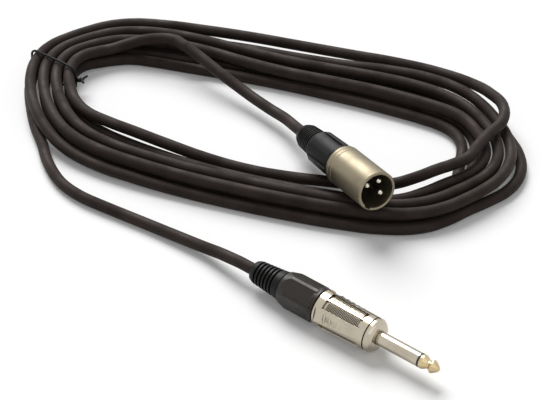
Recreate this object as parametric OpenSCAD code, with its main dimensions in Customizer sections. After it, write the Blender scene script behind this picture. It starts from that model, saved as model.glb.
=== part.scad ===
// Coiled audio lead with a three-pin male plug at one end and a 6.35 mm plug
// at the other. The coil lies on the ground plane, z = 0, and its long axis
// runs along X. Lengths are in millimetres.

/* [Cable] */
// Outside diameter of the cable
cable_d = 5.5; // [5:0.1:5.6]
// Radial clearance between the cable and what slides or turns round it
cable_clear = 0.3; // [0.25:0.05:0.5]
// Diameter of one insulated wire inside the cable
wire_d = 1.1; // [0.8:0.1:1.3]

/* [Coil] */
// Half length of the coil, to the centre of its outermost strand
coil_half_l = 124.8; // [124:0.2:135]
// Half width of the coil, to the centre of its outermost strand
coil_half_w = 64.75; // [64.25:0.25:72]
// How far the coil's corners bulge past a plain ellipse, as a share
coil_bulge = 0.25; // [0.2:0.01:0.3]
// How far the left end of the coil is shifted away from the front
coil_lean = 20; // [14:1:24]
// Height from one layer of strands to the next
layer_rise = 5.95; // [5.95:0.05:6.6]

/* [Tie] */
// Width of the tie's band
tie_w = 1.6; // [1.4:0.1:3]
// Thickness of the tie's band
tie_t = 0.9; // [0.6:0.1:1.1]
// Gap between the tie and the strands inside it
tie_gap = 0.4; // [0.3:0.05:0.5]
// Length of the twisted tail
tie_tail_l = 8; // [5:0.5:12]

/* [Three-pin plug] */
// Outside diameter of the shell
xlr_d = 19; // [18.8:0.1:20]
// Length of the shell
xlr_shell_l = 30.6; // [29:0.1:33]
// Wall of the shell round the contacts
xlr_wall = 1.4; // [1.2:0.1:1.5]
// Depth of the contact tips below the rim
xlr_tip_depth = 2.4; // [1.5:0.1:3.5]
// Length of each contact in front of the insert
xlr_pin_l = 14; // [12:0.25:15]
// Diameter of each contact
xlr_pin_d = 2.4; // [2.2:0.05:2.5]
// Radius of the circle that the contacts stand on
xlr_pin_r = 4.35; // [4.2:0.05:4.5]
// Thickness of the insert
xlr_insert_t = 4.6; // [4:0.1:5.5]
// Length of the boot behind the shell
xlr_boot_l = 37.4; // [36:0.2:42]
// Length of the boot's screwed neck inside the shell
xlr_neck_l = 4.5; // [4:0.25:5]
// Number of grip ribs round the boot
xlr_ribs = 6; // [5:1:8]

/* [Single plug] */
// Largest diameter of the shell
jack_d = 17; // [16.8:0.1:18]
// Length of the shell
jack_shell_l = 30.5; // [30:0.25:33]
// Wall of the shell
jack_wall = 2.1; // [2:0.05:2.2]
// Diameter of the plug's shaft
jack_shaft_d = 6.35; // [6.3:0.01:6.4]
// Length of the shaft, from the shell to the tip
jack_shaft_l = 31.2; // [30:0.1:32]
// Length of the tip
jack_tip_l = 9; // [8.5:0.1:9.8]
// Thickness of the insulating ring behind the tip
jack_ring_t = 1; // [0.8:0.1:1.4]
// Width of the gland across its flats
jack_flats = 15.4; // [15:0.1:16]
// Length of the gland behind the shell
jack_gland_l = 20.2; // [19:0.2:23]
// Length of the gland's screwed neck inside the shell
jack_neck_l = 5.5; // [5:0.25:6]
// Length of the boot's collar
jack_collar_l = 3.2; // [2.5:0.1:4]
// Length of the ringed part of the boot
jack_boot_l = 14.5; // [14:0.5:18]

/* [Screwed caps] */
// Thread pitch of both caps
thread_pitch = 1.5; // [1:0.25:2]
// Running clearance of a cap's neck in its shell
neck_clear = 0.3; // [0.25:0.05:0.35]
// Gap between a cap and its shell when screwed home
cap_gap = 0.5; // [0.3:0.1:0.8]

/* [Hidden] */

cable_r = cable_d / 2;
bore_r = cable_r + cable_clear;
wire_r = wire_d / 2;
// Radial gap between two pieces that are pressed or glued together
seat = 0.05;
// Facets round a turned piece
turned = 64;

// ---- Where the two plugs lie ----
xlr_rim = [73.65, 7.3, 22.9];
xlr_heading = -46.2;
xlr_tilt = 9.8;
// Turn of the plug about its own axis: the middle contact points this way
xlr_roll = 138.5;
jack_end = [121.3, -83.65];
jack_heading = -24.3;
jack_roll = -106.3;

// Moves what it is given to the three-pin plug: z = 0 at the shell's rear
// face, +z towards the mouth and +x towards the middle contact
module at_xlr() {
    translate(xlr_rim)
        rotate([0, 0, xlr_heading])
            rotate([0, 90 - xlr_tilt, 0])
                rotate([0, 0, xlr_roll])
                    translate([0, 0, -xlr_shell_l])
                        children();
}

// The same for the single plug: +x points to the middle of a ribbed strip
module at_jack() {
    translate([jack_end[0], jack_end[1], jack_d / 2])
        rotate([0, 0, jack_heading])
            rotate([0, 90, 0])
                rotate([0, 0, jack_roll])
                    translate([0, 0, -jack_shell_l - jack_shaft_l])
                        children();
}

// A point on a plug's axis, z in front of its shell's rear face
function along(end, heading, tilt, z) =
    end + z * [cos(heading) * cos(tilt), sin(heading) * cos(tilt), sin(tilt)];
function on_xlr(z) = along(xlr_rim, xlr_heading, xlr_tilt, z - xlr_shell_l);
function on_jack(z) = along([jack_end[0], jack_end[1], jack_d / 2],
    jack_heading, 0, z - jack_shell_l - jack_shaft_l);

// ---- Tubes ----
function unit(v) = v / norm(v);
// Direction of a route at its point i
function heading_at(route, i) =
    unit(route[min(i + 1, len(route) - 1)] - route[max(i - 1, 0)]);
// The ring of points round a route's point i. It stands on a flat, because
// the point that faces against the up direction is half a side off.
function ring(route, i, r, sides, upward) =
    let (t = heading_at(route, i), side = unit(cross(t, upward)),
         up = cross(side, t))
    [for (k = [0:sides - 1])
        let (a = 360 * (k + 0.5) / sides - 90)
        route[i] + r * (cos(a) * side + sin(a) * up)];

// One closed tube along a route, all of triangles. Where it lies on the
// ground, it is cut flat there.
module tube(route, r, sides, upward = [0, 0, 1], grounded = true) {
    n = len(route);
    round_points = [for (i = [0:n - 1]) each ring(route, i, r, sides, upward)];
    points = [for (p = round_points)
        [p[0], p[1], grounded ? max(p[2], 0) : p[2]]];
    sides_a = [for (i = [0:n - 2]) for (k = [0:sides - 1])
        [i * sides + k, (i + 1) * sides + k, i * sides + (k + 1) % sides]];
    sides_b = [for (i = [0:n - 2]) for (k = [0:sides - 1])
        [i * sides + (k + 1) % sides, (i + 1) * sides + k,
         (i + 1) * sides + (k + 1) % sides]];
    last = (n - 1) * sides;
    cap_a = [for (k = [1:sides - 2]) [0, k, k + 1]];
    cap_b = [for (k = [1:sides - 2]) [last, last + k + 1, last + k]];
    polyhedron(points, concat(sides_a, sides_b, cap_a, cap_b));
}

// A point at share w of one span of a smooth curve through four points
function curve_at(a, b, c, d, w) =
    0.5 * (2 * b + w * (c - a) + w * w * (2 * a - 5 * b + 4 * c - d)
           + w * w * w * (3 * b - 3 * c + d - a));
// A smooth route through hand-chosen points, with cuts spans between two
function smooth(points, cuts) =
    let (last = len(points) - 1)
    [for (i = [0:last - 1]) for (k = [0:cuts - 1])
        curve_at(points[max(i - 1, 0)], points[i], points[i + 1],
                 points[min(i + 2, last)], k / cuts), points[last]];

// ---- The coil's route ----
// The coil has seven turns and a sixth. It is laid clockwise from the tie at
// its left end: along the back, round the right end and along the front.
// A turn has 12 stations, 30 degrees apart, with one ring at each and one
// halfway. Each turn states how far it lies inside the outermost strand...
coil_centre = [5.6, 62.25];
stations = 12;
inset = [
    [2, 6.5, 7, 9, 5, 9.3, 5.2, 12.2, 6.8, 7.8, 8.4, 11.8],
    [8.2, 13.4, 11.5, 17.5, 15.5, 15.6, 11.2, 18.2, 13, 14, 14.6, 17.9],
    [14.4, 19.8, 20, 27.5, 27, 22.3, 17.3, 26, 22.5, 23, 26, 24.6],
    [20.6, 28.6, 31, 29.5, 29.8, 27.3, 28.8, 22.3, 16.2, 16.8, 19.3, 18.3],
    [14.4, 20.8, 24, 22, 22, 21.2, 22.4, 15.8, 10, 10.4, 11.5, 12],
    [8.2, 14, 15, 15, 14, 7, -0.2, 9.3, 2.8, 3.7, 3.2, 5.5],
    [2, 7.6, 3.8, 2.3, -1.6, 5.5, 21.5, 30.5, 29, 30, 30, 25.5],
    [20.6, 26.5, 25]];
// ...and its layer: 0 on the ground, 1 on top of that, 2 where the last turn
// crosses over the others. The tie lifts all strands by a quarter of a layer.
lift = 0.25;
layer = [
    [lift, 0, 0, 0.5, 1, 1, 1, 1, 1, 1, 1, 1],
    [1 + lift, 1, 1, 1, 1, 1, 1, 1, 1, 1, 1, 1],
    [1 + lift, 1, 1, 1, 1, 1, 1, 1, 0, 0, 0, 0],
    [lift, 0, 0, 0, 0, 0, 0, 0, 0, 0, 0, 0],
    [lift, 0, 0, 0, 0, 0, 0, 0, 0, 0, 0, 0],
    [lift, 0, 0, 0, 0, 0, 0, 0, 0, 0, 0.2, 1.1],
    [1 + lift, 1, 1, 1, 1, 2, 2, 2, 0, 0, 1, 1],
    [1 + lift, 1, 2]];
insets = [for (turn = inset) each turn];
layers = [for (turn = layer) each turn];
// A strand on the ground is cut flat by a tenth of its diameter
ground_z = cable_r - cable_d / 10;

// The value of a list of stations at s stations along, eased between two
function eased(list, s) =
    let (k = floor(s), w = (1 - cos(180 * (s - k))) / 2)
    list[k] * (1 - w) + list[min(k + 1, len(list) - 1)] * w;
function coil_point(s) =
    let (a = s * 360 / stations, c = cos(a), d = sin(a), in = eased(insets, s))
    [coil_centre[0] - (coil_half_l - in) * c * (1 + coil_bulge * d * d),
     coil_centre[1] + coil_lean * pow((1 + c) / 2, 2)
         + (coil_half_w - in) * d * (1 + coil_bulge * c * c),
     ground_z + layer_rise * eased(layers, s)];
coil_rings = [for (i = [0:2 * (len(insets) - 1)]) coil_point(i / 2)];
// Both ends run straight for one diameter of the cable
coil_enter = [0, 1, 0];
coil_start = coil_rings[0] - cable_d * coil_enter;
coil_leave = unit([0.87, -0.49, 0]);
coil_stop = coil_rings[len(coil_rings) - 1] + cable_d * coil_leave;
coil_route = concat([coil_start], coil_rings, [coil_stop]);

// The least gap between turns, measured at fifths of each straight span
cuts = 5;
coil_fine = [for (i = [0:len(coil_rings) - 2]) for (k = [0:cuts - 1])
    coil_rings[i] + (coil_rings[i + 1] - coil_rings[i]) * k / cuts];
least_gap = min([for (i = [0:len(coil_fine) - 1])
    for (j = [i + 6 * cuts:1:len(coil_fine) - 1])
        norm(coil_fine[i] - coil_fine[j])]) - cable_d;
echo(coil_least_gap_mm = least_gap);

// ---- The routes of the two leads ----
xlr_jacket_z = -2;
jack_jacket_z = -4;
// From the coil over the bundle and down to the rear of the three-pin plug
lead_xlr_points = [
    [-43, 104.4, 13.8], [-35, 99.5, 12.6], [-25, 93.5, 10.6],
    [-15, 88, 8.8], [-5, 82, 7.6], [6, 75, 7.4], [14.5, 69, 8.2]];
// From the coil's start round its left end, then to the single plug
lead_jack_points = [
    [-115.5, 66, 3.1], [-110.6, 54.4, 2.75], [-103, 39.5, 2.75],
    [-94.5, 26.5, 2.75], [-87.8, 14.9, 2.75], [-80.2, 5.1, 2.75],
    [-72.9, -1.5, 2.75], [-63.6, -6.7, 2.75], [-52.5, -10.6, 2.75],
    [-25.8, -18.6, 2.75], [0.5, -27.9, 4.2], [12, -33.3, 6.4]];
// Each lead starts face to face with the coil's end, in line with it
meet_l = 2.5;
// Each lead runs straight behind its boot for as far as the boot backs off
straight = 8;
lead_xlr_route = concat(
    [coil_stop],
    smooth(concat([coil_stop + meet_l * coil_leave], lead_xlr_points,
                  [on_xlr(-xlr_boot_l - straight)]), 2),
    [on_xlr(-xlr_boot_l), on_xlr(xlr_jacket_z)]);
lead_jack_back = -cap_gap - jack_gland_l - jack_collar_l - jack_boot_l;
lead_jack_route = concat(
    [coil_start],
    smooth(concat([coil_start - meet_l * coil_enter], lead_jack_points,
                  [on_jack(lead_jack_back - straight)]), 2),
    [on_jack(lead_jack_back), on_jack(jack_jacket_z)]);

module cable_coil() {
    color([0.24, 0.21, 0.2]) tube(coil_route, cable_r, 6);
}

module cable_lead_xlr() {
    color([0.24, 0.21, 0.2]) tube(lead_xlr_route, cable_r, 8);
}

module cable_lead_jack() {
    color([0.24, 0.21, 0.2]) tube(lead_jack_route, cable_r, 8);
}

// ---- The tie ----
// The strands inside the tie: four side by side, in two layers
tie_strands = [for (k = [0:stations:len(insets) - 1]) coil_point(k)];
tie_x = [for (p = tie_strands) p[0]];
tie_z = [for (p = tie_strands) p[2]];
tie_left = min(tie_x) - cable_r - tie_gap;
tie_right = max(tie_x) + cable_r + tie_gap;
tie_top = max(tie_z) + cable_r + tie_gap;
tie_corner = 3;

module rounded_box(left, right, bottom, top, r) {
    hull()
        for (x = [left + r, right - r])
            for (z = [bottom + r, top - r])
                translate([x, z])
                    circle(r, $fn = 24);
}

module twist_tie() {
    strand_r = tie_t / 2;
    color([0.1, 0.1, 0.1]) {
        translate([0, tie_strands[0][1] + tie_w / 2, 0])
            rotate([90, 0, 0])
                linear_extrude(tie_w)
                    difference() {
                        rounded_box(tie_left - tie_t, tie_right + tie_t,
                                    0, tie_top + tie_t, tie_corner + tie_t);
                        rounded_box(tie_left, tie_right, tie_t, tie_top,
                                    tie_corner);
                    }
        translate([tie_right + tie_t / 2, tie_strands[0][1], tie_top / 2])
            rotate([0, 90, 0])
                linear_extrude(tie_tail_l, twist = -540, slices = 20)
                    for (side = [-1, 1])
                        translate([side * strand_r * 0.8, 0])
                            circle(strand_r, $fn = 8);
    }
}

// ---- The three-pin plug ----
xlr_r = xlr_d / 2;
xlr_bore_r = xlr_r - xlr_wall;
xlr_face_z = xlr_shell_l - xlr_tip_depth - xlr_pin_l;
xlr_back_z = xlr_face_z - xlr_insert_t;
xlr_cup_l = 4;
// Each contact is this much thinner inside the insert, in radius
xlr_shoulder = 0.4;
xlr_neck_r = xlr_bore_r - neck_clear;
// The keyway in the mouth, opposite the middle contact
key_w = 3.2;
key_depth = 0.7;
key_l = 12;

module xlr_shell() {
    rim = 0.5;
    groove_w = 0.5;
    color([0.72, 0.7, 0.64]) at_xlr()
        difference() {
            rotate_extrude($fn = turned)
                polygon([
                    [xlr_bore_r, 0], [xlr_r - rim, 0], [xlr_r, rim],
                    for (z = [2, 4.4]) each [
                        [xlr_r, z], [xlr_r - 0.25, z + groove_w / 2],
                        [xlr_r, z + groove_w]],
                    [xlr_r, xlr_shell_l - rim], [xlr_r - rim, xlr_shell_l],
                    [xlr_bore_r + rim / 2, xlr_shell_l],
                    [xlr_bore_r, xlr_shell_l - rim / 2]]);
            translate([-xlr_bore_r - key_depth, -key_w / 2, xlr_shell_l - key_l])
                cube([key_depth * 2, key_w, key_l + 1]);
        }
}

module xlr_insert() {
    color([0.06, 0.06, 0.06]) at_xlr()
        difference() {
            translate([0, 0, xlr_back_z])
                cylinder(h = xlr_insert_t, r = xlr_bore_r - seat, $fn = turned);
            for (turn = [-90, 0, 90])
                rotate([0, 0, turn])
                    translate([xlr_pin_r, 0, xlr_back_z - 1])
                        cylinder(h = xlr_insert_t + 2,
                                 r = xlr_pin_d / 2 - xlr_shoulder + seat,
                                 $fn = 32);
        }
}

// One contact: a round pin with a domed tip, and a solder cup at its rear
module xlr_pin(turn) {
    r = xlr_pin_d / 2;
    cup_r = r + 0.3;
    dome = 0.5;
    tip = xlr_face_z + xlr_pin_l;
    color([0.85, 0.82, 0.7]) at_xlr()
        rotate([0, 0, turn])
            translate([xlr_pin_r, 0, 0])
                difference() {
                    rotate_extrude($fn = 32)
                        polygon([
                            [0, xlr_back_z - xlr_cup_l],
                            [cup_r, xlr_back_z - xlr_cup_l],
                            [cup_r, xlr_back_z],
                            [r - xlr_shoulder, xlr_back_z],
                            [r - xlr_shoulder, xlr_face_z], [r, xlr_face_z],
                            [r, tip - dome], [r - dome, tip], [0, tip]]);
                    translate([0, 0, xlr_back_z - xlr_cup_l - 1])
                        cylinder(h = 4, r = cup_r - 0.4, $fn = 32);
                }
}

// The spring strip that joins contact 1 to the shell
module xlr_ground_clip() {
    t = 0.4;
    arc_w = 1.6;
    color([0.8, 0.78, 0.7]) at_xlr()
        translate([0, 0, xlr_back_z - t])
            difference() {
                intersection() {
                    cylinder(h = t, r = xlr_bore_r - seat, $fn = turned);
                    translate([-xlr_bore_r / 2, -xlr_bore_r, 0])
                        cube([xlr_bore_r, xlr_bore_r - 1.5, t]);
                }
                rotate([0, 0, -90])
                    translate([xlr_pin_r, 0, -1])
                        cylinder(h = t + 2, r = xlr_pin_d / 2 + 0.3 + seat,
                                 $fn = 32);
                translate([0, 0, -1])
                    cylinder(h = t + 2, r = arc_w, $fn = 32);
            }
}

// The clamp that grips the cable. It has slots, a straight front part and a
// cone at its rear, and it travels with the boot.
xlr_chuck_r = 5.4;
xlr_chuck_front = 1;
xlr_chuck_rear = -19;
xlr_cone_z = -11;
xlr_cone_r = 3.9;

module chuck(front, cone_z, rear, r, cone_r) {
    slot_w = 0.8;
    difference() {
        rotate_extrude($fn = turned)
            polygon([[bore_r, rear], [cone_r, rear], [r, cone_z],
                     [r, front], [bore_r, front]]);
        for (turn = [0, 90])
            rotate([0, 0, turn])
                translate([-r - 1, -slot_w / 2, rear - 1])
                    cube([2 * r + 2, slot_w, cone_z - rear + 4]);
    }
}

module xlr_chuck() {
    color([0.85, 0.85, 0.83]) at_xlr()
        chuck(xlr_chuck_front, xlr_cone_z, xlr_chuck_rear, xlr_chuck_r,
              xlr_cone_r);
}

// The boot: a neck that screws into the shell, a grip with ribs and flutes,
// a waist with fine grooves, and a rounded rear end round the cable
module xlr_boot() {
    gap = 0.35;
    r_front = xlr_r - 0.3;
    groove_pitch = 1.55;
    grooves = 7;
    groove_front = -22.5;
    flute_depth = 1.1;
    flute_l = 19;
    rib_w = 3;
    flute_turn = 21.1;
    waist_z = -20.4;
    grip_z = -18.2;
    full_z = -10;
    color([0.08, 0.08, 0.08]) at_xlr() {
        difference() {
            rotate_extrude($fn = turned)
                polygon([
                    [bore_r, -xlr_boot_l], [3.6, -xlr_boot_l],
                    [4.6, -xlr_boot_l + 0.8], [5.3, -xlr_boot_l + 2],
                    [6, -xlr_boot_l + 4.2],
                    for (k = [grooves - 1:-1:0])
                        let (z = groove_front - k * groove_pitch,
                             r = 6.1 + 0.1 * (grooves - k))
                        each [[r, z - 0.9], [r - 0.8, z - 0.7],
                              [r - 0.8, z - 0.2], [r, z]],
                    [r_front - 1.2, waist_z], [r_front - 0.5, grip_z],
                    [r_front - 0.2, full_z],
                    [r_front, -2], [r_front - 0.3, -cap_gap],
                    [xlr_neck_r, -cap_gap], [xlr_neck_r, xlr_neck_l],
                    [xlr_chuck_r + gap, xlr_neck_l],
                    [xlr_chuck_r + gap, xlr_cone_z],
                    [xlr_cone_r + gap, xlr_chuck_rear - gap],
                    [bore_r, xlr_chuck_rear - gap]]);
            for (k = [0:xlr_ribs - 1])
                rotate([0, 0, (k + 0.5) * 360 / xlr_ribs + flute_turn])
                    flute(r_front - flute_depth, flute_l, rib_w);
        }
    }
}

// One scoop between two grip ribs: a wedge that stands outside radius r
module flute(r, l, rib_w) {
    half = 180 / xlr_ribs - asin(rib_w / 2 / xlr_r);
    reach = xlr_r + 2;
    translate([0, 0, -l - 1.5])
        difference() {
            linear_extrude(l)
                polygon([[0, 0], [reach, -reach * tan(half)],
                         [reach, reach * tan(half)]]);
            translate([0, 0, -1])
                cylinder(h = l + 2, r = r, $fn = turned);
        }
}

// A wire: straight out of the jacket, then across to where it is soldered
module wire(points) {
    tube(points, wire_r, 8, [0, 1, 0], false);
}

// A wire from the jacket to the cup of the contact at the given turn
module xlr_wire(turn) {
    spread = 1.35;
    bend = xlr_chuck_front + 0.6;
    cup_z = xlr_back_z - xlr_cup_l;
    at_xlr()
        rotate([0, 0, turn])
            wire([[spread, 0, xlr_jacket_z], [spread, 0, bend],
                  [xlr_pin_r, 0, cup_z - 0.8], [xlr_pin_r, 0, cup_z + 2]]);
}

module xlr_wire_shield() {
    color([0.75, 0.5, 0.3]) xlr_wire(-90);
}

module xlr_wire_hot() {
    color([0.7, 0.1, 0.1]) xlr_wire(90);
}

module xlr_wire_cold() {
    color([0.9, 0.9, 0.88]) xlr_wire(0);
}

// ---- The single plug ----
jack_r = jack_d / 2;
jack_bore_r = jack_r - jack_wall;
jack_nose_r = 5.6;
jack_front_r = 7.75;
jack_groove_z = jack_shell_l - 3.9;
jack_seat_z = jack_shell_l - 6;
jack_shaft_r = jack_shaft_d / 2;
// The shaft is slightly thinner where it sits inside the shell's nose
jack_root_r = jack_shaft_r - 0.35;
jack_neck_r = jack_bore_r - neck_clear;
jack_ring_z = jack_shell_l + jack_shaft_l - jack_tip_l - jack_ring_t;
jack_tube_r = 2;
jack_rod_r = 1.2;
// Radius of the tapered shell, z in front of its rear face
function taper(z) = jack_r + (jack_front_r - jack_r) * z / jack_groove_z;

// Windows with fine ribs come in pairs, and between the pairs lie flats that
// have five broad ribs
panel_turns = [for (side = [0, 120, 240]) each [side + 42.5, side + 77.5]];
panel_z = 4;
panel_l = 19.6;
panel_half = 15;
fine_pitch = 0.7;
fine_ribs = 24;
broad_pitch = 2.9;
broad_ribs = 5;
broad_z = 6.6;

module jack_shell() {
    rim = 0.4;
    shade = 1;
    groove_w = 0.7;
    flat_at = 7.75;
    fine_z = panel_z + (panel_l - fine_ribs * fine_pitch) / 2;
    color([0.82, 0.81, 0.78]) at_jack()
        difference() {
            union() {
                difference() {
                    rotate_extrude($fn = turned)
                        polygon([
                            [0, 0], [jack_r - rim, 0], [jack_r, rim],
                            [taper(jack_groove_z), jack_groove_z],
                            [jack_front_r - 0.6, jack_groove_z],
                            [jack_front_r - 0.6, jack_groove_z + groove_w],
                            [jack_front_r, jack_groove_z + groove_w],
                            [jack_front_r, jack_groove_z + 1.8],
                            [jack_front_r - 0.7, jack_shell_l - 0.9],
                            [jack_nose_r + 0.4, jack_shell_l],
                            [0, jack_shell_l]]);
                    for (turn = panel_turns)
                        rotate([0, 0, turn])
                            panel_cut(shade);
                    for (turn = [0, 120, 240])
                        rotate([0, 0, turn])
                            translate([flat_at, -jack_r, 1.2])
                                cube([jack_r, 2 * jack_r, jack_groove_z - 3.4]);
                }
                rotate_extrude($fn = turned)
                    polygon([
                        [jack_bore_r - 1, fine_z],
                        for (k = [0:fine_ribs - 1])
                            let (z = fine_z + k * fine_pitch)
                            each [
                                [taper(z) - shade - 0.05, z],
                                [taper(z) - 0.35, z + 0.15],
                                [taper(z) - 0.35, z + 0.4],
                                [taper(z) - shade - 0.05, z + 0.55]],
                        [jack_bore_r - 1, fine_z + fine_ribs * fine_pitch]]);
                for (turn = [0, 120, 240])
                    rotate([0, 0, turn])
                        broad_rib_row();
            }
            translate([0, 0, -1])
                cylinder(h = jack_seat_z + 1, r = jack_bore_r, $fn = turned);
            cylinder(h = jack_shell_l + 1, r = jack_root_r + seat,
                     $fn = turned);
        }
}

// One window: a wedge that stands outside the shell's shade radius
module panel_cut(shade) {
    reach = jack_r + 2;
    translate([0, 0, panel_z])
        difference() {
            linear_extrude(panel_l)
                polygon([[0, 0], [reach, -reach * tan(panel_half)],
                         [reach, reach * tan(panel_half)]]);
            translate([0, 0, -1])
                cylinder(h = panel_l + 2, r1 = taper(panel_z) - shade,
                         r2 = taper(panel_z + panel_l) - shade, $fn = turned);
        }
}

// Five broad ribs across one flat
module broad_rib_row() {
    half = 17;
    reach = jack_r + 2;
    intersection() {
        rotate_extrude($fn = turned)
            polygon([
                [jack_bore_r + 0.3, broad_z - 1],
                for (k = [0:broad_ribs - 1])
                    let (z = broad_z + k * broad_pitch)
                    each [[jack_bore_r + 0.6, z - 0.7],
                          [taper(z) - 0.25, z - 0.5],
                          [taper(z) - 0.05, z],
                          [taper(z) - 0.25, z + 0.5],
                          [jack_bore_r + 0.6, z + 0.7]],
                [jack_bore_r + 0.3, broad_z + broad_ribs * broad_pitch]]);
        linear_extrude(jack_shell_l)
            polygon([[0, 0], [reach, -reach * tan(half)],
                     [reach, reach * tan(half)]]);
    }
}

jack_chuck_r = 4.3;
jack_chuck_front = 2;
jack_chuck_rear = -14;
jack_cone_z = -8;
jack_cone_r = 3.7;
jack_stem_r = 4.7;
jack_stem_l = 4;

// The hexagonal gland: a neck that screws into the shell, a round flange, six
// flats and a rounded rear end with a socket for the boot's stem
module jack_gland() {
    gap = 0.35;
    rear = -cap_gap - jack_gland_l;
    corner_r = jack_r;
    flat_turn = -9;
    flange_r = 8.2;
    flange_l = 3.2;
    edge = 0.3;
    color([0.09, 0.085, 0.08]) at_jack()
        difference() {
            union() {
                intersection() {
                    rotate([0, 0, flat_turn])
                        translate([0, 0, rear])
                            cylinder(h = jack_gland_l - 1.5,
                                     r = jack_flats / 2 / cos(30), $fn = 6);
                    rotate_extrude($fn = turned)
                        polygon([[0, rear], [6.7, rear], [7.4, rear + 0.6],
                                 [corner_r, rear + 4.6],
                                 [corner_r, -cap_gap], [0, -cap_gap]]);
                }
                rotate_extrude($fn = turned)
                    polygon([[0, -cap_gap - flange_l],
                             [flange_r - 2 * edge, -cap_gap - flange_l],
                             [flange_r, -cap_gap - flange_l + 3 * edge],
                             [flange_r, -cap_gap - edge],
                             [flange_r - edge, -cap_gap],
                             [jack_neck_r, -cap_gap],
                             [jack_neck_r, jack_neck_l], [0, jack_neck_l]]);
            }
            rotate_extrude($fn = turned)
                polygon([[0, rear - 1], [jack_stem_r + seat, rear - 1],
                         [jack_stem_r + seat, rear + jack_stem_l],
                         [bore_r, rear + jack_stem_l],
                         [bore_r, jack_chuck_rear - gap],
                         [jack_cone_r + gap, jack_chuck_rear - gap],
                         [jack_chuck_r + gap, jack_cone_z],
                         [jack_chuck_r + gap, jack_neck_l + 1],
                         [0, jack_neck_l + 1]]);
        }
}

// The ringed boot, with a collar against the gland and a stem inside it
module jack_boot() {
    front = -cap_gap - jack_gland_l;
    grooves = 6;
    pitch = 1.93;
    color([0.08, 0.08, 0.08]) at_jack()
        rotate_extrude($fn = turned)
            polygon([
                [bore_r, lead_jack_back], [3.5, lead_jack_back],
                [4.6, lead_jack_back + 0.9], [5.1, lead_jack_back + 2],
                for (k = [grooves - 1:-1:0])
                    let (z = front - jack_collar_l - 0.4 - k * pitch,
                         r = 6.3 - 0.17 * k)
                    each [[r, z - 1], [r - 1.2, z - 0.8],
                          [r - 1.2, z - 0.3], [r, z]],
                [6.4, front - jack_collar_l], [6.7, front - 0.6],
                [6.4, front], [jack_stem_r, front],
                [jack_stem_r, front + jack_stem_l - 0.2],
                [bore_r, front + jack_stem_l - 0.2]]);
}

module jack_chuck() {
    color([0.85, 0.85, 0.83]) at_jack()
        chuck(jack_chuck_front, jack_cone_z, jack_chuck_rear, jack_chuck_r,
              jack_cone_r);
}

// The sleeve contact, with the flange that seats inside the shell's nose
jack_flange_t = 2.2;
jack_stub_l = 4.4;

module jack_sleeve() {
    flange_z = jack_seat_z - jack_flange_t;
    color([0.84, 0.83, 0.8]) at_jack()
        difference() {
            union() {
                translate([0, 0, flange_z - jack_stub_l])
                    cylinder(h = jack_shell_l - flange_z + jack_stub_l,
                             r = jack_root_r, $fn = turned);
                translate([0, 0, jack_shell_l])
                    cylinder(h = jack_ring_z - jack_shell_l, r = jack_shaft_r,
                             $fn = turned);
                translate([0, 0, flange_z])
                    cylinder(h = jack_flange_t, r = jack_bore_r - seat,
                             $fn = turned);
            }
            translate([0, 0, flange_z - jack_stub_l - 1])
                cylinder(h = jack_shaft_l + 2 * jack_shell_l,
                         r = jack_tube_r + seat, $fn = turned);
        }
}

// Behind the sleeve lie an insulating washer, the tip's lug and the rivet
jack_rear_z = jack_seat_z - jack_flange_t - jack_stub_l;
jack_washer_t = 0.8;
jack_lug_t = 0.6;

module jack_washer() {
    color([0.5, 0.25, 0.12]) at_jack()
        translate([0, 0, jack_rear_z - jack_washer_t])
            difference() {
                cylinder(h = jack_washer_t, r = jack_root_r + 0.4,
                         $fn = turned);
                translate([0, 0, -1])
                    cylinder(h = jack_washer_t + 2, r = jack_tube_r + seat,
                             $fn = turned);
            }
}

module jack_tip_insulator() {
    color([0.05, 0.05, 0.05]) at_jack()
        difference() {
            union() {
                translate([0, 0, jack_rear_z - jack_washer_t])
                    cylinder(h = jack_ring_z - jack_rear_z + jack_washer_t,
                             r = jack_tube_r, $fn = turned);
                translate([0, 0, jack_ring_z])
                    cylinder(h = jack_ring_t, r = jack_shaft_r, $fn = turned);
            }
            translate([0, 0, jack_rear_z - jack_washer_t - 1])
                cylinder(h = jack_shaft_l + 2 * jack_shell_l,
                         r = jack_rod_r + seat, $fn = turned);
        }
}

module jack_tip() {
    z = jack_ring_z + jack_ring_t;
    rear = jack_rear_z - jack_washer_t - jack_lug_t - 0.8;
    color([0.86, 0.8, 0.62]) at_jack()
        rotate_extrude($fn = turned)
            polygon([
                [0, rear], [jack_rod_r, rear], [jack_rod_r, z],
                [jack_shaft_r, z], [jack_shaft_r, z + 1.2],
                [2.7, z + 2.2], [2.15, z + 3], [2, z + 3.6],
                [2.1, z + 4.2], [2.6, z + 4.9], [2.95, z + 5.4],
                [2.95, z + 5.8], [2.2, z + 7], [1.3, z + 8.2],
                [0.6, z + jack_tip_l - 0.2], [0, z + jack_tip_l]]);
}

// A solder lug: a ring on the plug's axis and a tongue that reaches back
module lug(z, ring_r, hole_r, tongue_r, tongue_l, tongue_w) {
    difference() {
        union() {
            translate([0, 0, z])
                cylinder(h = jack_lug_t, r = ring_r, $fn = 48);
            translate([0, -tongue_w / 2, z])
                cube([tongue_r, tongue_w, jack_lug_t]);
            translate([tongue_r - jack_lug_t, -tongue_w / 2, z - tongue_l])
                cube([jack_lug_t, tongue_w, tongue_l + jack_lug_t]);
        }
        translate([0, 0, z - tongue_l - 1])
            cylinder(h = tongue_l + jack_lug_t + 2, r = hole_r, $fn = 48);
    }
}

tip_lug_r = 3.4;
ground_lug_r = 5.6;

module jack_tip_lug() {
    color([0.85, 0.82, 0.7]) at_jack()
        lug(jack_rear_z - jack_washer_t - jack_lug_t, 2.8, jack_rod_r + seat,
            tip_lug_r, 4, 2);
}

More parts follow.
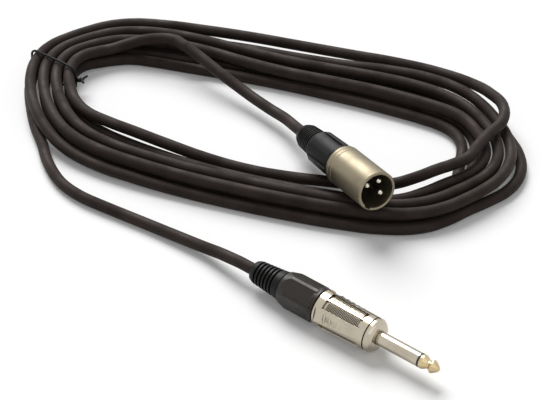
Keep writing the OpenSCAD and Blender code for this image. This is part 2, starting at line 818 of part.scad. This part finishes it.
module jack_ground_lug() {
    tongue_l = 9;
    tongue_w = 3;
    color([0.85, 0.82, 0.7]) at_jack()
        rotate([0, 0, 180])
            lug(jack_seat_z - jack_flange_t - jack_lug_t, 4.6,
                jack_root_r + seat, ground_lug_r, tongue_l, tongue_w);
}

// A wire to a lug's tongue: the turn at which it leaves the jacket, and the
// place and height of its end
module jack_wire(turn, out, side, end_z) {
    spread = 1.35;
    bend = jack_chuck_front + 0.8;
    x = spread * cos(turn);
    y = spread * sin(turn);
    at_jack()
        wire([[x, y, jack_jacket_z], [x, y, bend],
              [out, side, bend + 3.5], [out, side, end_z]]);
}

// Where the wires end: beside the rear part of each lug's tongue
tip_wire_z = jack_rear_z - jack_washer_t - jack_lug_t - 2.5;
ground_wire_z = jack_seat_z - jack_flange_t - jack_lug_t - 7;
ground_wire_r = ground_lug_r - jack_lug_t - wire_r - seat;

module jack_wire_hot() {
    color([0.7, 0.1, 0.1])
        jack_wire(0, tip_lug_r + wire_r + seat, 0.3, tip_wire_z);
}

module jack_wire_cold() {
    color([0.9, 0.9, 0.88])
        jack_wire(120, -ground_wire_r, 0.7, ground_wire_z);
}

module jack_wire_shield() {
    color([0.75, 0.5, 0.3])
        jack_wire(240, -ground_wire_r, -0.7, ground_wire_z);
}

cable_coil();
cable_lead_xlr();
cable_lead_jack();
twist_tie();
xlr_shell();
xlr_insert();
xlr_pin(-90);  // xlr_pin_1
xlr_pin(90);  // xlr_pin_2
xlr_pin(0);  // xlr_pin_3
xlr_ground_clip();
xlr_chuck();
xlr_boot();
xlr_wire_shield();
xlr_wire_hot();
xlr_wire_cold();
jack_shell();
jack_gland();
jack_boot();
jack_chuck();
jack_sleeve();
jack_tip();
jack_tip_insulator();
jack_washer();
jack_tip_lug();
jack_ground_lug();
jack_wire_hot();
jack_wire_cold();
jack_wire_shield();
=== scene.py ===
# %% [markdown]
# # A coiled audio lead with two plugs
#
# The measured model comes in first. Everything that follows is built around
# it, in metres, and nothing of it is moved. Its box is kept, because the
# dressed model has to stay the same size.

# %% Load the measured model
import math

import bpy
from mathutils import Matrix, Vector


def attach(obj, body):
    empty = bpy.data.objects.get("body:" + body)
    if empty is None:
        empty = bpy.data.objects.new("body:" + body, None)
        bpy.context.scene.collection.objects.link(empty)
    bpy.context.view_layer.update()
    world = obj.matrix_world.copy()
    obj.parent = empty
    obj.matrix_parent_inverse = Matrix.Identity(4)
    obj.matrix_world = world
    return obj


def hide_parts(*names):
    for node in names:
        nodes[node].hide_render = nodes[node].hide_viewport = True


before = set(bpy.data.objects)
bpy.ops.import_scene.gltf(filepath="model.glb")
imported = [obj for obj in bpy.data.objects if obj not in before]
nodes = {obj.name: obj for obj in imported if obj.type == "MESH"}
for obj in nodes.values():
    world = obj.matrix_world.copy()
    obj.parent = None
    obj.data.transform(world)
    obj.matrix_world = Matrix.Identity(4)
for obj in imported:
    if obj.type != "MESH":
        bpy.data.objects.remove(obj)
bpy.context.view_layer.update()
ROOT = "cable_and_shells"
MM = 0.001

# %% [markdown]
# ## The camera
#
# A long lens looks down at 39 degrees from the front right of the coil. Its
# line of sight meets the ground at one known point, so the camera is put
# back from that point along the line of sight. A long lens keeps the two
# plugs in proportion, although one is nearer than the other.

# %% Place the camera
LOOK_AT = Vector((25.1, 17.5, 0)) * MM
PITCH = math.radians(39)
TURN = math.radians(15)
CAMERA_HEIGHT = 584.5 * MM
SENSOR = 36
FOCAL_PIXELS = 2000
PICTURE_PIXELS = 557
LENS = SENSOR * FOCAL_PIXELS / PICTURE_PIXELS
NEAREST = 0.01

line_of_sight = Vector((-math.sin(TURN) * math.cos(PITCH),
                        math.cos(TURN) * math.cos(PITCH), -math.sin(PITCH)))
camera_data = bpy.data.cameras.new("camera")
camera_data.sensor_width = SENSOR
camera_data.lens = LENS
camera_data.clip_start = NEAREST
camera = bpy.data.objects.new("camera", camera_data)
camera.location = LOOK_AT - line_of_sight * (CAMERA_HEIGHT / math.sin(PITCH))
camera.rotation_euler = (math.pi / 2 - PITCH, 0, TURN)
bpy.context.scene.collection.objects.link(camera)
bpy.context.scene.camera = camera
print("camera at", [round(v, 4) for v in camera.location], "lens", round(LENS, 1))

# %% [markdown]
# ## Where the plugs lie
#
# Each plug was laid out along its own axis and then turned into place. The
# same turn is kept here as a matrix, so that a piece can be shaped upright
# on the plug's axis and then set down where the plug lies.

# %% Matrices for the two plugs
XLR_RIM = Vector((73.65, 7.3, 22.9))
XLR_SHELL_L = 30.6
XLR_BOOT_L = 37.4
JACK_END = Vector((121.3, -83.65, 8.5))
JACK_SHELL_L = 30.5
JACK_SHAFT_L = 31.2
CAP_GAP = 0.5
JACK_GLAND_L = 20.2
JACK_COLLAR_L = 3.2
JACK_BOOT_L = 14.5
JACK_REAR = -CAP_GAP - JACK_GLAND_L - JACK_COLLAR_L - JACK_BOOT_L


def turned(axis, degrees):
    return Matrix.Rotation(math.radians(degrees), 4, axis)


def laid_out(end, heading, tilt, roll, length):
    """From upright on the plug's axis, rear face at zero, to where the plug lies."""
    return (Matrix.Scale(MM, 4) @ Matrix.Translation(end) @ turned("Z", heading)
            @ turned("Y", 90 - tilt) @ turned("Z", roll)
            @ Matrix.Translation((0, 0, -length)))


at_xlr = laid_out(XLR_RIM, heading=-46.2, tilt=9.8, roll=138.5, length=XLR_SHELL_L)
at_jack = laid_out(JACK_END, heading=-24.3, tilt=0, roll=-106.3,
                   length=JACK_SHELL_L + JACK_SHAFT_L)
print("three-pin plug's mouth at", at_xlr @ Vector((0, 0, XLR_SHELL_L)))
print("single plug's tip at", at_jack @ Vector((0, 0, JACK_SHELL_L + JACK_SHAFT_L)))

# %% [markdown]
# ## The cable's route
#
# The cable is one unbroken length, so it is one curve. In the coil, the
# route is worked out turn by turn: each turn says how far it lies inside the
# outermost strand, and in which layer, at 12 stations round the oval. The
# cosine easing between two stations gives the slow drift that hand-coiled
# cable has.

# %% Work out the coil
CABLE_D = 5.5
CABLE_R = CABLE_D / 2
CENTRE = Vector((5.6, 62.25))
HALF_L = 124.8
HALF_W = 64.75
BULGE = 0.25
LEAN = 20
LAYER_RISE = 5.95
TIE_LIFT = 0.25
STATIONS = 12
STEPS = 3
INSET = [
    [2, 6.5, 7, 9, 5, 9.3, 5.2, 10.6, 6.8, 7.8, 8.4, 11.8],
    [8.2, 13.4, 11.5, 17, 13.5, 15.4, 11.2, 17, 12.8, 14, 14.6, 17.9],
    [14.4, 19.8, 20, 26.5, 25, 21.6, 17.3, 23.6, 22.5, 23, 25, 24],
    [20.6, 28.6, 31, 29.5, 29.8, 27.3, 28.8, 22.3, 16.2, 16.8, 19.3, 18.3],
    [14.4, 20.8, 24, 22, 22, 21.2, 22.4, 15.8, 10, 10.4, 11.5, 12],
    [8.2, 14, 15, 15, 14, 7, -0.2, 9.3, 2.8, 3.7, 3.2, 5.5],
    [2, 7.6, 3.8, 2.3, -1.6, 5.5, 21, 28, 31.5, 30, 27.8, 24],
    [20.6, 26.5, 25]]
LAYER = [
    [0, 0, 0, 0.5, 1, 1, 1, 1, 1, 1, 1, 1],
    [1, 1, 1, 1, 1, 1, 1, 1, 1, 1, 1, 1],
    [1, 1, 1, 1, 1, 1, 1, 1, 0, 0, 0, 0],
    [0, 0, 0, 0, 0, 0, 0, 0, 0, 0, 0, 0],
    [0, 0, 0, 0, 0, 0, 0, 0, 0, 0, 0, 0],
    [0, 0, 0, 0, 0, 0, 0, 0, 0, 0, 0.2, 1.1],
    [1, 1, 1, 1, 1, 2, 2, 2, 0.3, 0, 1, 1],
    [1, 1, 2]]
insets = [value for turn in INSET for value in turn]
layers = [value + (TIE_LIFT if k == 0 else 0)
          for turn in LAYER for k, value in enumerate(turn)]


def eased(values, s):
    """The value between two stations, with a cosine easing."""
    k = math.floor(s)
    w = (1 - math.cos(math.pi * (s - k))) / 2
    return values[k] * (1 - w) + values[min(k + 1, len(values) - 1)] * w


def coil_point(s):
    """The coil's centreline at station s, clockwise from the tie, in millimetres."""
    angle = s * math.tau / STATIONS
    c, d = math.cos(angle), math.sin(angle)
    inset = eased(insets, s)
    return Vector((
        CENTRE.x - (HALF_L - inset) * c * (1 + BULGE * d * d),
        CENTRE.y + LEAN * ((1 + c) / 2) ** 2 + (HALF_W - inset) * d * (1 + BULGE * c * c),
        CABLE_R + LAYER_RISE * eased(layers, s)))


coil = [coil_point(i / STEPS) for i in range(STEPS * (len(insets) - 1) + 1)]
print("coil points:", len(coil), "turns:", (len(insets) - 1) / STATIONS)

# %% [markdown]
# The two free stretches follow a few listed points, joined by a smooth curve.
# Each ends in a straight run into its plug, because a stiff boot holds the
# cable straight.

# %% Work out the free stretches
XLR_JACKET_Z = -2
JACK_JACKET_Z = -4
INSIDE_Z = -25
STRAIGHT = 8
MEET = 2.5
LEAD_CUTS = 3
LEAD_XLR = [
    (-43, 104.4, 13.8), (-35, 99.5, 12.6), (-25, 93.5, 10.6),
    (-15, 88, 8.8), (-5, 82, 7.6), (6, 75, 7.4), (14.5, 69, 8.2)]
LEAD_JACK = [
    (-115.5, 66, 3.1), (-110.6, 54.4, 2.75), (-103, 39.5, 2.75),
    (-94.5, 26.5, 2.75), (-87.8, 14.9, 2.75), (-80.2, 5.1, 2.75),
    (-72.9, -1.5, 2.75), (-63.6, -6.7, 2.75), (-52.5, -10.6, 2.75),
    (-25.8, -18.6, 2.75), (0.5, -27.9, 4.2), (12, -33.3, 6.4)]


def on_axis(matrix, z):
    """A point on a plug's axis, in millimetres."""
    return (matrix @ Vector((0, 0, z))) / MM


def smooth(points, cuts):
    """A smooth curve through all the points, each span in so many cuts."""
    made = []
    for i in range(len(points) - 1):
        a, b, c, d = (points[max(i - 1, 0)], points[i], points[i + 1],
                      points[min(i + 2, len(points) - 1)])
        for k in range(cuts):
            w = k / cuts
            made.append(0.5 * (2 * b + w * (c - a) + w * w * (2 * a - 5 * b + 4 * c - d)
                               + w ** 3 * (3 * b - 3 * c + d - a)))
    return made + [points[-1]]


leave = Vector((0.87, -0.49, 0)).normalized()
coil_stop = coil[-1] + CABLE_D * leave
to_xlr = [coil_stop]
to_xlr += smooth([coil_stop + MEET * leave] + [Vector(p) for p in LEAD_XLR]
                 + [on_axis(at_xlr, -XLR_BOOT_L - STRAIGHT)], LEAD_CUTS)
to_xlr += [on_axis(at_xlr, z) for z in (-XLR_BOOT_L, INSIDE_Z, XLR_JACKET_Z)]
enter = Vector((0, 1, 0))
coil_start = coil[0] - CABLE_D * enter
to_jack = [coil_start]
to_jack += smooth([coil_start - MEET * enter] + [Vector(p) for p in LEAD_JACK]
                  + [on_axis(at_jack, JACK_REAR - STRAIGHT)], LEAD_CUTS)
to_jack += [on_axis(at_jack, z) for z in (JACK_REAR, INSIDE_Z, JACK_JACKET_Z)]
route = [p * MM for p in reversed(to_xlr)] + [p * MM for p in reversed(coil)]
route += [p * MM for p in to_jack]

# %% [markdown]
# ## The cable
#
# The real cable is a round jacket over its wires and braid, and only the
# jacket shows. It could be a swept mesh, but a curve with a round bevel is
# the natural way to make it: its spline is the centreline, the bevel gives it
# its thickness, and automatic handles take it through every point without a
# kink. The thickness is set on the points, because a curve's box is drawn
# round them with their own radius.

# %% Make the cable
CURVE_STEPS = 4
CABLE_ROUNDNESS = 6


def round_strands(name, strands, radius, roundness):
    """One piece of round strands, each a path in metres and whether it closes."""
    data = bpy.data.curves.new(name, "CURVE")
    data.dimensions = "3D"
    data.bevel_depth = 1
    data.bevel_resolution = roundness
    data.resolution_u = CURVE_STEPS
    data.use_fill_caps = True
    for path, closed in strands:
        spline = data.splines.new("BEZIER")
        spline.bezier_points.add(len(path) - 1)
        for knot, place in zip(spline.bezier_points, path):
            knot.co = place
            knot.radius = radius * MM
            knot.handle_left_type = knot.handle_right_type = "AUTO"
        spline.use_cyclic_u = closed
    made = bpy.data.objects.new(name, data)
    bpy.context.scene.collection.objects.link(made)
    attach(made, ROOT)
    return made


cable = round_strands("cable", [(route, False)], CABLE_R, CABLE_ROUNDNESS)
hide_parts("cable_coil", "cable_lead_xlr", "cable_lead_jack")
print("cable:", CABLE_D, "mm thick, through", len(route), "points")

# %% [markdown]
# ## The tie
#
# A twist tie is a thin wire in a plastic skin. It goes once round the bundle
# and its two ends are twisted together, so it is a closed loop and two
# strands that wind round each other and then spread. The loop is measured
# from the strands that it holds, so it stays tight if the coil changes.

# %% Measure the bundle inside the tie
TIE_R = 0.6
TIE_ROUNDNESS = 4
TIE_CLEAR = 0.35
TIE_SLANT = -0.4
TIE_SHIFT = -2.5
tie_knots = [coil_point(k) for k in range(0, len(insets), STATIONS)]
tie_left = min(p.x for p in tie_knots) - CABLE_R - TIE_CLEAR - TIE_R
tie_right = max(p.x for p in tie_knots) + CABLE_R + 3 * TIE_CLEAR + TIE_R
tie_top = max(p.z for p in tie_knots) + CABLE_R + TIE_CLEAR + TIE_R
tie_y = tie_knots[0].y + TIE_SHIFT
print("strands in the tie:", len(tie_knots), "width:", round(tie_right - tie_left, 1))

# %% Shape the tie's loop
TIE_CORNER = 3.6
CORNER_STEPS = 4


def tie_loop():
    """A rounded oblong round the bundle, from its upper right corner."""
    made = []
    for x, z, start in ((tie_right, tie_top, 0), (tie_left, tie_top, 90),
                        (tie_left, TIE_R, 180), (tie_right, TIE_R, 270)):
        inward = Vector((math.copysign(TIE_CORNER, tie_left + tie_right - 2 * x), 0,
                         math.copysign(TIE_CORNER, tie_top + TIE_R - 2 * z)))
        middle = Vector((x, 0, z)) + inward
        for k in range(CORNER_STEPS + 1):
            angle = math.radians(start + 90 * k / CORNER_STEPS)
            made.append(middle + TIE_CORNER * Vector((math.cos(angle), 0, math.sin(angle))))
    middle_x = (tie_left + tie_right) / 2
    return [p + Vector((0, tie_y + TIE_SLANT * (p.x - middle_x), 0)) for p in made]


loop = tie_loop()
print("tie's loop: points", len(loop), "height:", round(tie_top + TIE_R, 1))

# %% Shape its twisted end
TAIL_L = 4.6
TAIL_STEPS = 12
TAIL_TWISTS = 1
TAIL_TWISTED = 0.7
TAIL_SPREADS_FROM = 0.6
TAIL_SPREAD = 6
TAIL_RISE = 1.5
TAIL_TOUCH = 1.02


def tie_tail(phase):
    """One end: it winds round its twin, then bends away from it."""
    made = []
    knot_y = tie_y + TIE_SLANT * (tie_right - tie_left) / 2
    for k in range(TAIL_STEPS + 1):
        share = k / TAIL_STEPS
        angle = phase + math.tau * TAIL_TWISTS * min(share / TAIL_TWISTED, 1)
        reach = TIE_R * TAIL_TOUCH + max(share - TAIL_SPREADS_FROM, 0) * TAIL_SPREAD
        made.append(Vector((tie_right + TIE_R + TAIL_L * share,
                            knot_y + reach * math.cos(angle),
                            tie_top / 2 + TAIL_RISE * share + reach * math.sin(angle))))
    return made


tails = [tie_tail(0), tie_tail(math.pi)]
print("twisted end:", TAIL_L, "mm long")

# %% Make the tie
tie_strands = [([p * MM for p in path], closed)
               for path, closed in ((loop, True), (tails[0], False), (tails[1], False))]
tie = round_strands("tie_wire", tie_strands, TIE_R, TIE_ROUNDNESS)
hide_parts("twist_tie")
print("tie: strands", len(tie_strands))

# %% [markdown]
# ## Finishes
#
# Every finish is a small node graph on one Principled shader. The helpers
# below add a node, join two, and do the few sums that the finishes share.
# Object coordinates are in metres here, so a noise scale of 2000 gives grain
# of about half a millimetre.


# %% Helpers for node graphs
def linear(colour):
    """A screen colour, 0 to 255, as the linear light that a shader takes."""
    return [((c / 255 + 0.055) / 1.055) ** 2.4 if c > 10 else c / 255 / 12.92 for c in colour]


def finish_named(name, colour, metallic, roughness):
    material = bpy.data.materials.new(name)
    material.use_nodes = True
    shader = material.node_tree.nodes["Principled BSDF"]
    shader.inputs["Base Color"].default_value = (*linear(colour), 1)
    shader.inputs["Metallic"].default_value = metallic
    shader.inputs["Roughness"].default_value = roughness
    return material, shader


def add(owner, kind, **values):
    """A new node, with its sockets and settings filled in by name."""
    node = owner.node_tree.nodes.new("ShaderNode" + kind)
    for key, value in values.items():
        if key in node.inputs:
            node.inputs[key].default_value = value
        else:
            setattr(node, key, value)
    return node


def link(owner, source, target):
    owner.node_tree.links.new(source, target)


# %% Helpers that mix and scale
def blend(owner, factor, first, second):
    """A colour that goes from the first to the second as the factor rises."""
    mixer = add(owner, "Mix", data_type="RGBA")
    for socket, value in ((mixer.inputs[6], first), (mixer.inputs[7], second)):
        if isinstance(value, bpy.types.NodeSocket):
            link(owner, value, socket)
        else:
            socket.default_value = (*linear(value), 1)
    link(owner, factor, mixer.inputs[0])
    return mixer.outputs[2]


def ranged(owner, source, low, high, start=0.0, stop=1.0):
    """Spread a value from start..stop over low..high."""
    spread = add(owner, "MapRange")
    for name, value in (("From Min", start), ("From Max", stop),
                        ("To Min", low), ("To Max", high)):
        spread.inputs[name].default_value = value
    link(owner, source, spread.inputs["Value"])
    return spread.outputs["Result"]


def joined(owner, operation, first, second):
    """One number from two: their product, the larger one, and so on."""
    node = add(owner, "Math", operation=operation)
    link(owner, first, node.inputs[0])
    link(owner, second, node.inputs[1])
    return node.outputs[0]


# %% [markdown]
# Two things are added to a surface: shade painted into what lies deep, and
# edges that are rubbed paler, as on a used surface. Both could be painted by
# hand. Here an Ambient Occlusion node finds the deep places and a Bevel node
# the edges, because they follow the shape by themselves.

# %% Helpers for painted shade in grooves and for worn edges
GROOVE_REACH = 0.9
OCCLUSION_SAMPLES = 8
EDGE_SAMPLES = 4


def painted_groove_shade(material, tone, shade_colour):
    """Painted shade: darken the colour of what lies deep between neighbours."""
    open_sky = add(material, "AmbientOcclusion", samples=OCCLUSION_SAMPLES,
                   Distance=GROOVE_REACH * MM)
    return blend(material, ranged(material, open_sky.outputs["AO"], 0, 1, 0.35, 0.9),
                 shade_colour, tone)


def worn_edge(material, radius):
    """1 on a sharp edge, 0 on an open face: the rounded normal turns away."""
    rounded = add(material, "Bevel", samples=EDGE_SAMPLES, Radius=radius * MM)
    plain = add(material, "NewGeometry")
    dot = add(material, "VectorMath", operation="DOT_PRODUCT")
    link(material, rounded.outputs["Normal"], dot.inputs[0])
    link(material, plain.outputs["Normal"], dot.inputs[1])
    return ranged(material, dot.outputs["Value"], 1, 0, 0.8, 0.995), rounded


# %% [markdown]
# A surface is built from layers: a base colour that drifts a little over a few
# millimetres, fine grain that raises the surface and varies its gloss, lines
# round the axis where a piece was turned or moulded, edges that are rounded by
# a tenth of a millimetre and rubbed paler, and shade painted into the grooves.

# %% A helper that layers one surface
def surface(name, colour, drift, metallic, gloss, scale, depth, edge=None, radius=0.12,
            axis=None, lines=900, line_depth=0.004, patch=90, groove_shade=None, shine=0.5):
    """Colours 0 to 255, depths and the edge's radius in millimetres."""
    material, shader = finish_named(name, colour, metallic, sum(gloss) / 2)
    shader.inputs["Specular IOR Level"].default_value = shine
    place = add(material, "TexCoord")
    fine = add(material, "TexNoise", Scale=scale, Detail=4.0)
    broad = add(material, "TexNoise", Scale=patch, Detail=3.0)
    for noise in (fine, broad):
        link(material, place.outputs["Object"], noise.inputs["Vector"])
    tone = blend(material, ranged(material, broad.outputs["Fac"], 0, 1, 0.35, 0.65),
                 colour, drift)
    grain = add(material, "Bump", Distance=depth * MM, Strength=1.0)
    link(material, fine.outputs["Fac"], grain.inputs["Height"])
    normal = grain.outputs["Normal"]
    if edge is not None:
        rubbed, rounded = worn_edge(material, radius)
        patchy = ranged(material, broad.outputs["Fac"], 0.25, 1, 0.4, 0.6)
        tone = blend(material, joined(material, "MULTIPLY", rubbed, patchy), tone, edge)
        link(material, rounded.outputs["Normal"], grain.inputs["Normal"])
    # Painted shade: the colour darkens where the surface lies deep.
    if groove_shade is not None:
        tone = painted_groove_shade(material, tone, groove_shade)
    if axis is not None:
        along = add(material, "VectorMath", operation="DOT_PRODUCT")
        along.inputs[1].default_value = axis
        link(material, place.outputs["Object"], along.inputs[0])
        rings = add(material, "TexNoise", noise_dimensions="1D", Scale=lines, Detail=2.0)
        link(material, along.outputs["Value"], rings.inputs["W"])
        turned_bump = add(material, "Bump", Distance=line_depth * MM, Strength=1.0)
        link(material, rings.outputs["Fac"], turned_bump.inputs["Height"])
        link(material, normal, turned_bump.inputs["Normal"])
        normal = turned_bump.outputs["Normal"]
    link(material, normal, shader.inputs["Normal"])
    link(material, tone, shader.inputs["Base Color"])
    smear = ranged(material, broad.outputs["Fac"], 0.8, 1.2, 0.3, 0.7)
    sheen = ranged(material, fine.outputs["Fac"], *gloss, 0.3, 0.7)
    link(material, joined(material, "MULTIPLY", smear, sheen), shader.inputs["Roughness"])
    return material


# %% [markdown]
# ## The dark finishes
#
# The jacket is soft vinyl, almost matt, with shade painted black where two
# strands meet. The tie's skin is blacker. Both boots are moulded rubber with edges that
# have greyed, the gland between them is glossier plastic, and the insert that
# holds the contacts is hard and plain. They differ mostly in gloss, so that
# each gets its own range of roughness.

# %% The jacket and the tie's skin
# Painted shade: the jacket's colour goes almost black where two strands meet.
jacket = surface("cable jacket", (50, 41, 37), (41, 33, 30), 0, (0.55, 0.72), 1800, 0.025,
                 groove_shade=(10, 8, 8), shine=0.14)
jacket_shader = jacket.node_tree.nodes["Principled BSDF"]
jacket_shader.inputs["Sheen Weight"].default_value = 0.03
jacket_shader.inputs["Sheen Roughness"].default_value = 0.4
cable.data.materials.append(jacket)
moulded = surface("moulded black", (10, 9, 9), (7, 7, 7), 0, (0.5, 0.65), 2600, 0.02,
                  shine=0.2)
tie.data.materials.append(moulded)
print("soft pieces finished:", cable.name, tie.name)

# %% Boots, gland and insert
rubber_xlr = surface("boot rubber, three-pin", (18, 16, 15), (13, 12, 11), 0, (0.36, 0.5),
                     3000, 0.02, edge=(66, 60, 54), radius=0.15, shine=0.16)
rubber_jack = surface("boot rubber, single", (20, 18, 17), (15, 14, 13), 0, (0.36, 0.5),
                      3000, 0.02, edge=(66, 60, 54), radius=0.15, shine=0.16)
glossy = surface("glossy black", (40, 33, 27), (31, 26, 22), 0, (0.3, 0.42), 900, 0.002,
                 edge=(96, 88, 78), radius=0.2, shine=0.3)
insert_black = surface("insert black", (24, 22, 22), (19, 18, 18), 0, (0.4, 0.55), 2000,
                       0.015, edge=(52, 50, 50))
print("dark finishes:", [m.name for m in (rubber_xlr, rubber_jack, glossy, insert_black)])

# %% [markdown]
# ## The metals
#
# The three-pin shell is bead-blasted and nickel-plated, so it is satin with a
# fine speckle. The single plug is polished, with faint lines from the lathe
# that run round its axis. A noise along that one axis gives such lines, where
# a ring texture would be too regular. The tip has a warmer plating.

# %% The plugs' metals
XLR_AXIS = (at_xlr.to_3x3() @ Vector((0, 0, 1))).normalized()
JACK_AXIS = (at_jack.to_3x3() @ Vector((0, 0, 1))).normalized()
nickel = surface("satin nickel", (140, 131, 111), (124, 116, 98), 1, (0.38, 0.5), 4500,
                 0.012, edge=(226, 219, 202), axis=XLR_AXIS, lines=5200, line_depth=0.006)
# Painted shade: the shell's colour darkens in the grooves between its ribs.
bright = surface("bright nickel", (190, 181, 164), (176, 167, 150), 1, (0.14, 0.24), 2600,
                 0.003, edge=(232, 226, 214), radius=0.04, axis=JACK_AXIS, lines=4200,
                 line_depth=0.002, groove_shade=(70, 62, 50))
gilt = surface("plated tip", (206, 186, 146), (190, 170, 132), 1, (0.12, 0.22), 2600, 0.003,
               edge=(234, 220, 188), radius=0.05, axis=JACK_AXIS, lines=4200,
               line_depth=0.002)
print("axes of the plugs:", [round(v, 3) for v in (*XLR_AXIS, *JACK_AXIS)])

# %% The metals inside
pin_metal = surface("plated contact", (222, 217, 204), (208, 202, 188), 1, (0.14, 0.26),
                    2600, 0.003, edge=(232, 228, 218), radius=0.1, axis=XLR_AXIS,
                    lines=5200, line_depth=0.002)
spring = surface("spring strip", (204, 198, 182), (188, 181, 164), 1, (0.22, 0.34), 2600,
                 0.004, edge=(222, 218, 206))
copper = surface("bare copper", (192, 122, 82), (160, 94, 60), 1, (0.28, 0.42), 7000, 0.03,
                 patch=400)
print("inner metals:", [m.name for m in (pin_metal, spring, copper)])

# %% [markdown]
# ## What lies inside
#
# The clamps are pale nylon, the washer is brown fibre board, and the wires are
# insulated in red and white. They show when a cap is screwed off, so they get
# the same layers as the outside.

# %% Nylon, fibre board and insulation
pale = surface("pale nylon", (214, 212, 205), (204, 201, 192), 0, (0.42, 0.58), 2000, 0.015,
               edge=(228, 227, 222))
fibre = surface("fibre board", (126, 64, 34), (104, 50, 26), 0, (0.55, 0.7), 3500, 0.03,
                edge=(150, 86, 50))
red = surface("red insulation", (178, 32, 30), (160, 26, 26), 0, (0.34, 0.48), 2400, 0.008)
white = surface("white insulation", (226, 225, 218), (214, 212, 203), 0, (0.34, 0.48), 2400,
                0.008)
print("finishes made:", len(bpy.data.materials))

# %% [markdown]
# Every measured piece keeps its shape and gets a finish by name. One table
# says which, so that a piece without a finish is easy to find.

# %% Give every node its finish
FINISHES = {
    "xlr_shell": nickel, "xlr_insert": insert_black,
    "xlr_pin_1": pin_metal, "xlr_pin_2": pin_metal, "xlr_pin_3": pin_metal,
    "xlr_ground_clip": spring, "xlr_chuck": pale, "xlr_boot": rubber_xlr,
    "xlr_wire_shield": copper, "xlr_wire_hot": red, "xlr_wire_cold": white,
    "jack_shell": bright, "jack_gland": glossy, "jack_boot": rubber_jack,
    "jack_chuck": pale, "jack_sleeve": bright, "jack_tip": gilt,
    "jack_tip_insulator": insert_black, "jack_washer": fibre, "jack_tip_lug": spring,
    "jack_ground_lug": spring, "jack_wire_hot": red, "jack_wire_cold": white,
    "jack_wire_shield": copper}
for name, material in FINISHES.items():
    nodes[name].data.materials.clear()
    nodes[name].data.materials.append(material)
print("finished nodes:", len(FINISHES))

# %% [markdown]
# ## Floor and light
#
# The floor is one big pale sheet. To the rays that show a background it adds
# a little light of its own, so that it reads as white paper and still keeps
# the shadows. Those are the camera's rays, and the glossy and transmission
# rays, so that metal mirrors the same white.


# %% A helper that tells which rays show the background
def background_rays(owner):
    """1 for camera, glossy and transmission rays, 0 for the light that falls."""
    path = add(owner, "LightPath")
    shown = path.outputs["Is Camera Ray"]
    for name in ("Is Glossy Ray", "Is Transmission Ray"):
        shown = joined(owner, "MAXIMUM", shown, path.outputs[name])
    return shown


# %% The floor
FLOOR_SIZE = 6
FLOOR_TONE = 0.8
FLOOR_GLOW = 0.12
bpy.ops.mesh.primitive_plane_add(size=FLOOR_SIZE, location=(0, 0, 0))
floor = bpy.context.object
floor.name = "floor"
paper = bpy.data.materials.new("paper")
paper.use_nodes = True
paper.node_tree.nodes.clear()
out = add(paper, "OutputMaterial")
diffuse = add(paper, "BsdfDiffuse", Color=(FLOOR_TONE, FLOOR_TONE, FLOOR_TONE, 1))
glow = add(paper, "Emission", Color=(1, 1, 1, 1), Strength=FLOOR_GLOW)
glowing = add(paper, "AddShader")
mix = add(paper, "MixShader")
link(paper, diffuse.outputs[0], glowing.inputs[0])
link(paper, glow.outputs[0], glowing.inputs[1])
link(paper, background_rays(paper), mix.inputs["Fac"])
link(paper, diffuse.outputs[0], mix.inputs[1])
link(paper, glowing.outputs[0], mix.inputs[2])
link(paper, mix.outputs[0], out.inputs["Surface"])
floor.data.materials.append(paper)
print("floor in metres:", [round(v, 2) for v in floor.dimensions])

# %% [markdown]
# A window behind and to the left gives the soft shadows that fall towards the
# front. Far lamps light the whole floor evenly, and the angle that such a lamp
# fills in the sky sets how soft its shadows are.

# %% The lamps
KEY_FROM, KEY_SPREAD, KEY_STRENGTH = (-0.4, 0.7, 0.85), 40, 3.5
FILL_FROM, FILL_SPREAD, FILL_STRENGTH = (0.5, -0.5, 0.9), 60, 0.25


def lamp(name, place, spread, strength):
    """A far, soft lamp: its spread is the angle in degrees that it fills."""
    data = bpy.data.lights.new(name, "SUN")
    data.angle = math.radians(spread)
    data.energy = strength
    made = bpy.data.objects.new(name, data)
    made.location = place
    made.rotation_euler = (LOOK_AT - Vector(place)).to_track_quat("-Z", "Y").to_euler()
    bpy.context.scene.collection.objects.link(made)


lamp("key", KEY_FROM, KEY_SPREAD, KEY_STRENGTH)
lamp("fill", FILL_FROM, FILL_SPREAD, FILL_STRENGTH)
print("lamps:", KEY_STRENGTH, FILL_STRENGTH)

# %% The world
AMBIENT = 0.25
world = bpy.data.worlds.new("world")
bpy.context.scene.world = world
world.use_nodes = True
sky = world.node_tree.nodes["Background"]
sky.inputs["Color"].default_value = (1, 1, 1, 1)
link(world, ranged(world, background_rays(world), AMBIENT, 1), sky.inputs["Strength"])
bpy.context.scene.view_settings.view_transform = "Standard"
print("ambient light:", AMBIENT)
